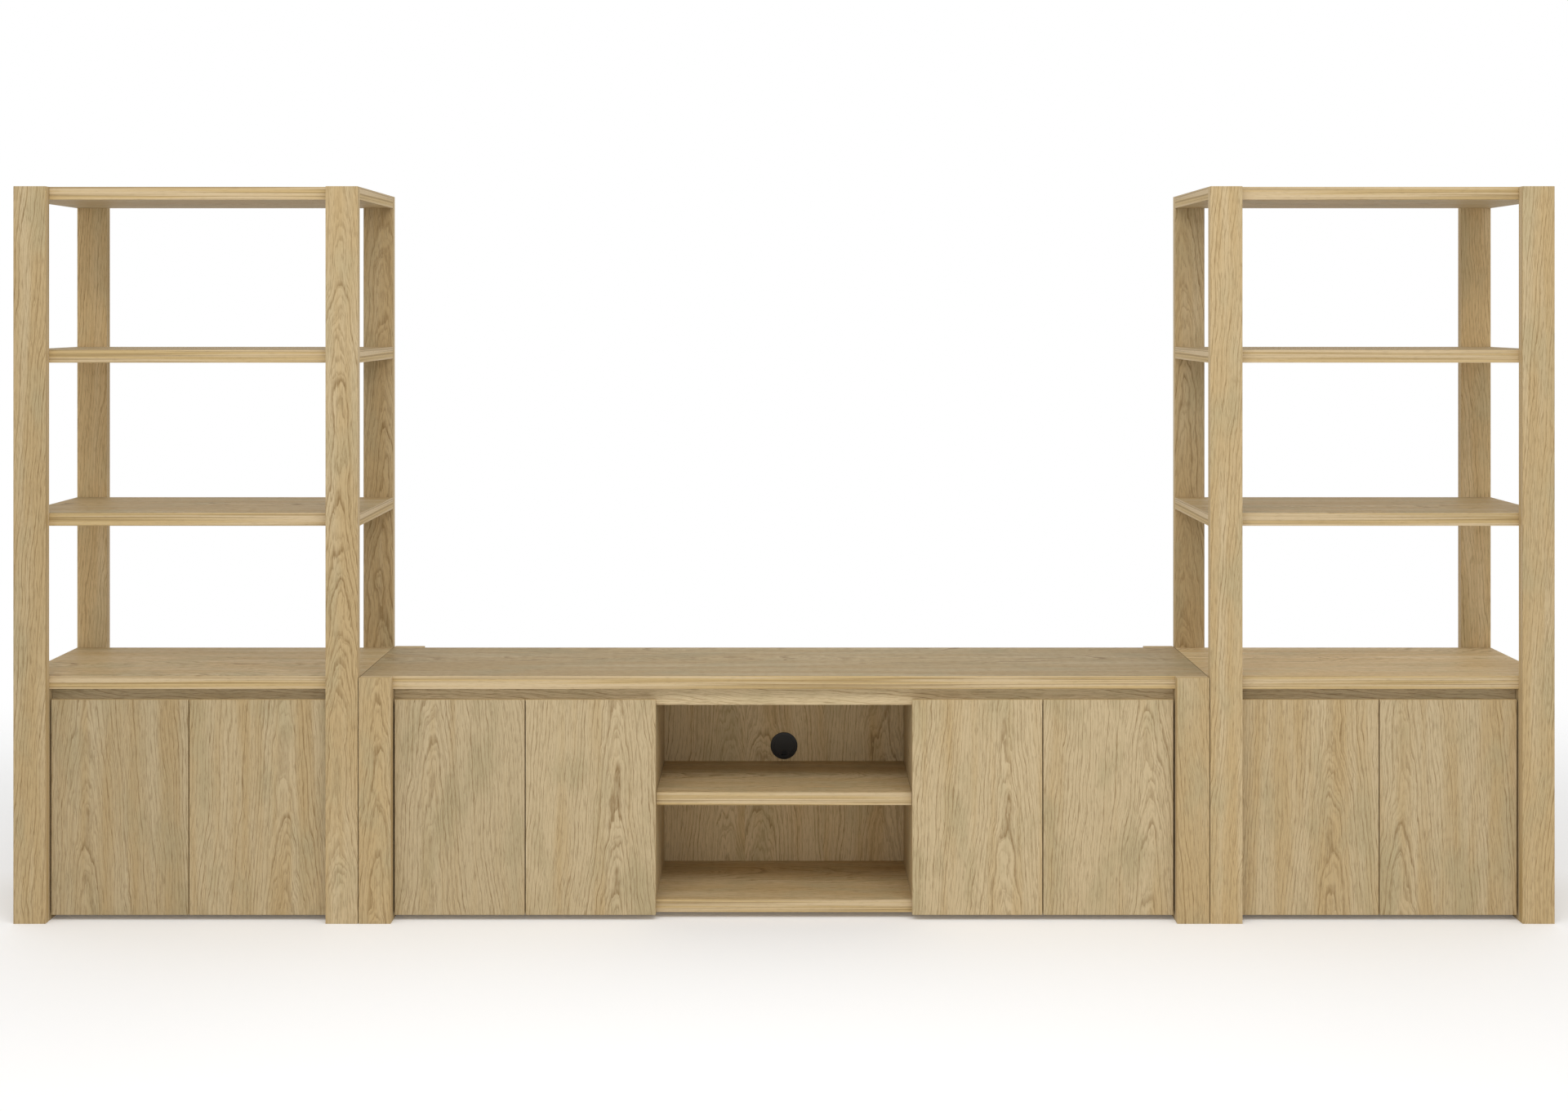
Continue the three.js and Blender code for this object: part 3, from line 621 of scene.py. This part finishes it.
pin_radius, collar_radius, collar_thickness, shank, peg = 0.0024, 0.0038, 0.0008, 0.008, 0.009
pin_inset, peg_rounding, clearance = 0.04, 0.0008, 0.0001
pin = begin("pin", bpy.ops.mesh.primitive_cylinder_add, vertices=24, radius=pin_radius, depth=shank,
            location=(-shank / 2, 0, 0), rotation=(0, math.pi / 2, 0))
choose(pin, "FACE", faces_to(0, 1))
push((0, 0, 0))
grow = collar_radius / pin_radius
bpy.ops.transform.resize(value=(1, grow, grow), center_override=(0, 0, 0))
push((collar_thickness, 0, 0))
bpy.ops.mesh.inset(thickness=collar_radius - pin_radius)
push((peg, 0, 0))
choose(pin, "EDGE", lambda edge: min(v.co.x for v in edge.verts) > peg * 0.9)
bpy.ops.mesh.bevel(offset=peg_rounding, segments=3, affect="EDGES")
bpy.ops.object.mode_set(mode="OBJECT")
for name in nodes:
    if name.endswith("_inner_shelf"):
        low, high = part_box(name)
        pins = []
        for x, side in ((low.x, 1), (high.x, -1)):
            for y in (low.y + pin_inset, high.y - pin_inset):
                height = low.z - pin_radius - clearance
                seat = Matrix.Translation((x - side * collar_thickness * 1.2, y, height))
                pins.append(copy_of(pin, "pin", seat @ Matrix.Diagonal((side, 1, 1, 1))))
        pins = join(f"{name}_pins", pins)
        finish(pins, nickel)
        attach(pins, "carcass")
bpy.data.objects.remove(pin)

# ---------------------------------------------------------------------------------------------------------
# Door bumpers. Two clear polyurethane pads with rounded rims, stuck on each door's back by its free edge,
# one to meet the bottom board and one the rail.
# ---------------------------------------------------------------------------------------------------------

bumper_radius, bumper_thickness, bumper_inset, bumper_drop = 0.004, 0.0018, 0.014, 0.013
same_place = 0.001  # two places nearer than this are one
bumper = begin("bumper", bpy.ops.mesh.primitive_cylinder_add, vertices=32, radius=bumper_radius,
               depth=bumper_thickness, location=(0, bumper_thickness / 2, 0), rotation=(math.pi / 2, 0, 0))
choose(bumper, "EDGE", lambda edge: min(v.co.y for v in edge.verts) > bumper_thickness * 0.9)
bpy.ops.mesh.bevel(offset=bumper_thickness * 0.8, segments=5, affect="EDGES")
bpy.ops.object.mode_set(mode="OBJECT")

# Clear soft plastic: light passes into it, and its skin is smooth with a faint orange peel
polyurethane, tree = blank_material("clear cast polyurethane")
where = add(tree, "TexCoord")["Object"]
peel = add(tree, "TexNoise", {"Vector": where, "Scale": 900.0, "Detail": 1.0})["Fac"]
skin = add(tree, "Math", [peel, 0.12, 0.16], operation="MULTIPLY_ADD")[0]
clear = {"Base Color": linear("e9e7e0"), "Roughness": skin, "IOR": 1.5, "Transmission Weight": 0.6}
shader = add(tree, "BsdfPrincipled", clear)[0]
add(tree, "OutputMaterial", {"Surface": shader})
for door in doors:
    low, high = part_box(door.name)
    bottom_low, bottom_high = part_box(door.name.split("_")[0] + (
        "_bottom" if door.name.startswith("console") else "_pier_bottom"))
    from_left = (hinge_places[door.name][0].translation.x - low.x) < same_place
    x = high.x - bumper_inset if from_left else low.x + bumper_inset
    heights = ((bottom_low.z + bottom_high.z) / 2, high.z - bumper_drop)
    spots = [Matrix.Translation((x, high.y, z)) for z in heights]
    domes = join(f"{door.name}_bumpers", [copy_of(bumper, "bumper", spot) for spot in spots])
    finish(domes, polyurethane)
    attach(domes, door.name)
bpy.data.objects.remove(bumper)

# ---------------------------------------------------------------------------------------------------------
# Cable grommet. A flanged liner through the back panel, a cap that turns in it with a round-ended cable
# slot, and a rubber flap behind the cap with a crossed slit that keeps dust out. Liner and cap are
# injection-moulded black ABS.
# ---------------------------------------------------------------------------------------------------------

# Black satin plastic: nearly black, with the fine even grain of a spark-eroded mould
plastic, tree = blank_material("black moulded ABS")
where = add(tree, "TexCoord")["Object"]
texture = add(tree, "TexNoise", {"Vector": where, "Scale": 2500.0, "Detail": 2.0})["Fac"]
satin = add(tree, "Math", [texture, 0.2, 0.22], operation="MULTIPLY_ADD")[0]
relief = add(tree, "Bump", {"Strength": 0.3, "Distance": 0.00005, "Height": texture})[0]
black = {"Base Color": linear("121110"), "Roughness": satin, "Normal": relief}
shader = add(tree, "BsdfPrincipled", black)[0]
add(tree, "OutputMaterial", {"Surface": shader})

round_sides, upright_turn = 96, (math.pi / 2, 0, 0)
liner_low, liner_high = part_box("grommet_liner")
cap_low, cap_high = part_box("grommet_cap")
centre = (liner_low + liner_high) / 2
flange, sleeve, seat, throat = (liner_high.x - liner_low.x) / 2, 0.0297, 0.0277, 0.0257
flange_depth, flange_rounding, cap_clearance = 0.0024, 0.0013, 0.0003
liner = begin("liner", bpy.ops.mesh.primitive_cylinder_add, vertices=round_sides, radius=flange,
              depth=flange_depth, location=(centre.x, liner_low.y + flange_depth / 2, centre.z),
              rotation=upright_turn)
choose(liner, "FACE", faces_to(1, 1))
bpy.ops.mesh.inset(thickness=flange - sleeve)
push((0, liner_high.y - liner_low.y - flange_depth, 0))
bpy.ops.mesh.inset(thickness=sleeve - throat)
choose(liner, "FACE", faces_to(1, -1))
bpy.ops.mesh.inset(thickness=flange - seat)
push((0, cap_high.y + cap_clearance - liner_low.y, 0))
bpy.ops.mesh.inset(thickness=seat - throat)
choose(liner, "FACE", lambda face: abs(face.normal.y) > 0.9 and len(face.verts) == round_sides)
bpy.ops.mesh.bridge_edge_loops()
choose(liner, "EDGE", lambda edge: all(v.co.y < liner_low.y + 1e-5 and
                                       math.hypot(v.co.x - centre.x, v.co.z - centre.z) > flange * 0.99
                                       for v in edge.verts))
bpy.ops.mesh.bevel(offset=flange_rounding, segments=4, affect="EDGES")
bpy.ops.object.mode_set(mode="OBJECT")
liner = join("grommet_liner_round", [liner])

cap_radius = (cap_high.x - cap_low.x) / 2
rim_width, dish_depth, dish_step, cap_ease = 0.0022, 0.0005, 0.0006, 0.0004
cap = begin("cap", bpy.ops.mesh.primitive_cylinder_add, vertices=round_sides, radius=cap_radius,
            depth=cap_high.y - cap_low.y, location=(centre.x, (cap_low.y + cap_high.y) / 2, centre.z),
            rotation=upright_turn)
choose(cap, "FACE", faces_to(1, -1))
bpy.ops.mesh.inset(thickness=rim_width)
push((0, dish_depth, 0))
bpy.ops.mesh.inset(thickness=dish_step)
bpy.ops.object.mode_set(mode="OBJECT")
slot_width, slot_depth, cutter_depth = 0.014, 0.016, 0.01
slot = begin("slot", bpy.ops.mesh.primitive_cube_add, size=1,
             scale=(slot_width, cutter_depth, slot_depth * 2),
             location=(centre.x, cap_low.y, centre.z - cap_radius))
choose(slot, "EDGE", lambda edge: runs_along(1)(edge) and edge.verts[0].co.z > centre.z - cap_radius)
bpy.ops.mesh.bevel(offset=slot_width * 0.499, segments=12, affect="EDGES")
bpy.ops.object.mode_set(mode="OBJECT")
boolean(cap, slot, "DIFFERENCE")
eased = cap.modifiers.new("moulded edge", "BEVEL")
eased.width, eased.segments, eased.limit_method = cap_ease, 2, "ANGLE"
bpy.context.view_layer.objects.active = cap
bpy.ops.object.modifier_apply(modifier=eased.name)
cap = join("grommet_cap_round", [cap])

flap_depth, flap_thickness, flap_grip = 0.011, 0.0012, 0.0002
flap = begin("flap", bpy.ops.mesh.primitive_cylinder_add, vertices=round_sides, radius=throat + flap_grip,
             depth=flap_thickness, location=(centre.x, liner_low.y + flap_depth, centre.z),
             rotation=upright_turn)
bpy.ops.object.mode_set(mode="OBJECT")
slit_width, slit_length = 0.0005, 0.042
groove_place = 0.6  # the slit is a groove in the flap's front, this share of a thickness before its middle
for size in ((slit_width, slit_length), (slit_length, slit_width)):
    slit = begin("slit", bpy.ops.mesh.primitive_cube_add, size=1, scale=(size[0], flap_thickness, size[1]),
                 location=(centre.x, liner_low.y + flap_depth - flap_thickness * groove_place, centre.z))
    bpy.ops.object.mode_set(mode="OBJECT")
    boolean(flap, slit, "DIFFERENCE")
flap = join("grommet_flap", [flap])

# Soft dark rubber: a dry grey bloom over black
rubber, tree = blank_material("dark moulded rubber")
where = add(tree, "TexCoord")["Object"]
dust = add(tree, "TexNoise", {"Vector": where, "Scale": 140.0, "Detail": 4.0})["Fac"]
dusty = add(tree, "Mix", {0: dust, 6: linear("1f1e1d"), 7: linear("35332f")}, data_type="RGBA")[2]
dry = add(tree, "Math", [dust, 0.2, 0.6], operation="MULTIPLY_ADD")[0]
shader = add(tree, "BsdfPrincipled", {"Base Color": dusty, "Roughness": dry})[0]
add(tree, "OutputMaterial", {"Surface": shader})

for piece, material, body in ((liner, plastic, "carcass"), (cap, plastic, "grommet_cap"),
                              (flap, rubber, "carcass")):
    finish(piece, material)
    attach(piece, body)
for piece, node in ((liner, "grommet_liner"), (cap, "grommet_cap")):
    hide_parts(node)

# ---------------------------------------------------------------------------------------------------------
# Floor, light and camera of a plain white studio. The floor is matt and lets the backdrop take over away
# from the cabinet, and one wide lamp in front and above gives a soft light.
# ---------------------------------------------------------------------------------------------------------

floor_size, floor_squash = 16, 0.62  # the fade is an oval, longer along X
fade_end, fade_start = 3.2, 1.4
bpy.ops.object.select_all(action="DESELECT")
bpy.ops.mesh.primitive_plane_add(size=floor_size)
floor = bpy.context.object
floor.name = "floor"
floor_paint, tree = blank_material("white matt floor")
# The floor fades out round the cabinet, so that it runs into the backdrop without a line
where = add(tree, "TexCoord")["Object"]
rounder = add(tree, "Mapping", {"Vector": where, "Scale": (floor_squash, 1.0, 1.0)})[0]
away = add(tree, "VectorMath", [rounder], operation="LENGTH")["Value"]
solid = add(tree, "MapRange", [away, fade_end, fade_start], interpolation_type="SMOOTHSTEP")[0]
paint = {"Base Color": linear("fdfdfd"), "Roughness": 0.9, "Specular IOR Level": 0.1, "Alpha": solid,
         "Emission Color": linear("ffffff"), "Emission Strength": 0.06}
shader = add(tree, "BsdfPrincipled", paint)[0]
add(tree, "OutputMaterial", {"Surface": shader})
floor.data.materials.append(floor_paint)
floor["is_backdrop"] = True

# The backdrop is seen as plain white, and lights the cabinet a little less than that
backdrop_light = 0.75
world = bpy.data.worlds.new("white studio")
bpy.context.scene.world = world
world.use_nodes = True
tree = world.node_tree
tree.nodes.clear()
seen = add(tree, "LightPath")["Is Camera Ray"]
strength = add(tree, "MapRange", [seen, 0.0, 1.0, backdrop_light, 1.0])[0]
white = add(tree, "Background", {"Color": linear("ffffff"), "Strength": strength})[0]
add(tree, "OutputWorld", {"Surface": white})

key = bpy.data.lights.new("key", "AREA")
key.shape = "RECTANGLE"
key.size, key.size_y = 5.0, 1.0
key.energy = 66
key_lamp = bpy.data.objects.new("key", key)
key_lamp.location = (0, -2.7, 3.5)
key_aim = Vector((0, 0, 0.7))
key_lamp.rotation_euler = (key_aim - key_lamp.location).to_track_quat("-Z", "Y").to_euler()
bpy.context.scene.collection.objects.link(key_lamp)

camera_data = bpy.data.cameras.new("camera")
camera_data.lens = 44.2
camera_data.sensor_width = 36
camera_data.shift_y = -0.1565
camera = bpy.data.objects.new("camera", camera_data)
camera.location = (0, -5.0015, 1.5223)
camera.rotation_euler = (math.pi / 2, 0, 0)
bpy.context.scene.collection.objects.link(camera)
bpy.context.scene.camera = camera
bpy.context.scene.view_settings.view_transform = "Standard"

low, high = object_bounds()
